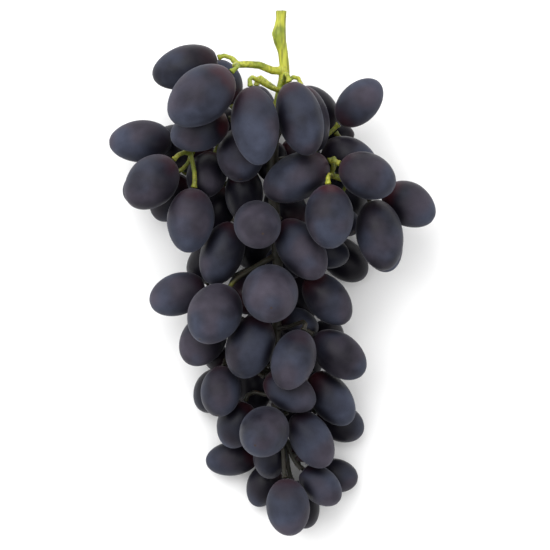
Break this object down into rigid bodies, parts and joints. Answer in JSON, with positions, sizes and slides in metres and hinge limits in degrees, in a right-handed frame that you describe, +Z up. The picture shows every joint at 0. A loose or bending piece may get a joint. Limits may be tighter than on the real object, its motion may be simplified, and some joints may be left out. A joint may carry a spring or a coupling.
{
  "type": "bunch of grapes",
  "caption": "Bunch of dark oval table grapes on a branched green stem, lying on its back with the bare cut stalk at one end.",
  "frame": {"origin": "on the resting plane, under the middle of the bunch's bounding box", "axes": "+Y along the bunch towards the cut end of the stalk, +Z up from the resting plane, +X across the shoulders"},
  "size_m": [0.1254, 0.1998, 0.0725],
  "materials": {
    "berry_skin": "satin",
    "stem": "matte"
  },
  "bodies": {
    "root": {"crown_berry_01": "berry_skin", "crown_berry_02": "berry_skin", "crown_berry_03": "berry_skin", "crown_berry_04": "berry_skin", "crown_berry_05": "berry_skin", "crown_berry_06": "berry_skin", "crown_berry_07": "berry_skin", "crown_berry_08": "berry_skin", "crown_berry_09": "berry_skin", "heart_berry_01": "berry_skin", "heart_berry_02": "berry_skin", "heart_berry_03": "berry_skin", "heart_berry_04": "berry_skin", "heart_berry_05": "berry_skin", "heart_berry_06": "berry_skin", "heart_berry_07": "berry_skin", "heart_berry_08": "berry_skin", "heart_berry_09": "berry_skin", "heart_berry_10": "berry_skin", "left_shoulder_berry_01": "berry_skin", "left_shoulder_berry_02": "berry_skin", "left_shoulder_berry_03": "berry_skin", "left_shoulder_berry_04": "berry_skin", "left_shoulder_berry_05": "berry_skin", "left_shoulder_berry_06": "berry_skin", "left_shoulder_berry_07": "berry_skin", "left_shoulder_berry_08": "berry_skin", "left_shoulder_berry_09": "berry_skin", "left_shoulder_berry_10": "berry_skin", "left_shoulder_berry_11": "berry_skin", "right_shoulder_berry_01": "berry_skin", "right_shoulder_berry_02": "berry_skin", "right_shoulder_berry_03": "berry_skin", "right_shoulder_berry_04": "berry_skin", "right_shoulder_berry_05": "berry_skin", "right_shoulder_berry_06": "berry_skin", "right_shoulder_berry_07": "berry_skin", "right_shoulder_berry_08": "berry_skin", "right_shoulder_berry_09": "berry_skin", "stem": "stem", "tail_berry_01": "berry_skin", "tail_berry_02": "berry_skin", "tail_berry_03": "berry_skin", "tail_berry_04": "berry_skin", "tail_berry_05": "berry_skin", "tail_berry_06": "berry_skin", "tail_berry_07": "berry_skin", "tail_berry_08": "berry_skin", "tail_berry_09": "berry_skin", "tail_berry_10": "berry_skin", "waist_berry_01": "berry_skin", "waist_berry_02": "berry_skin", "waist_berry_03": "berry_skin", "waist_berry_04": "berry_skin", "waist_berry_05": "berry_skin", "waist_berry_06": "berry_skin", "waist_berry_07": "berry_skin", "waist_berry_08": "berry_skin", "waist_berry_09": "berry_skin", "waist_berry_10": "berry_skin"}
  },
  "joints": []
}
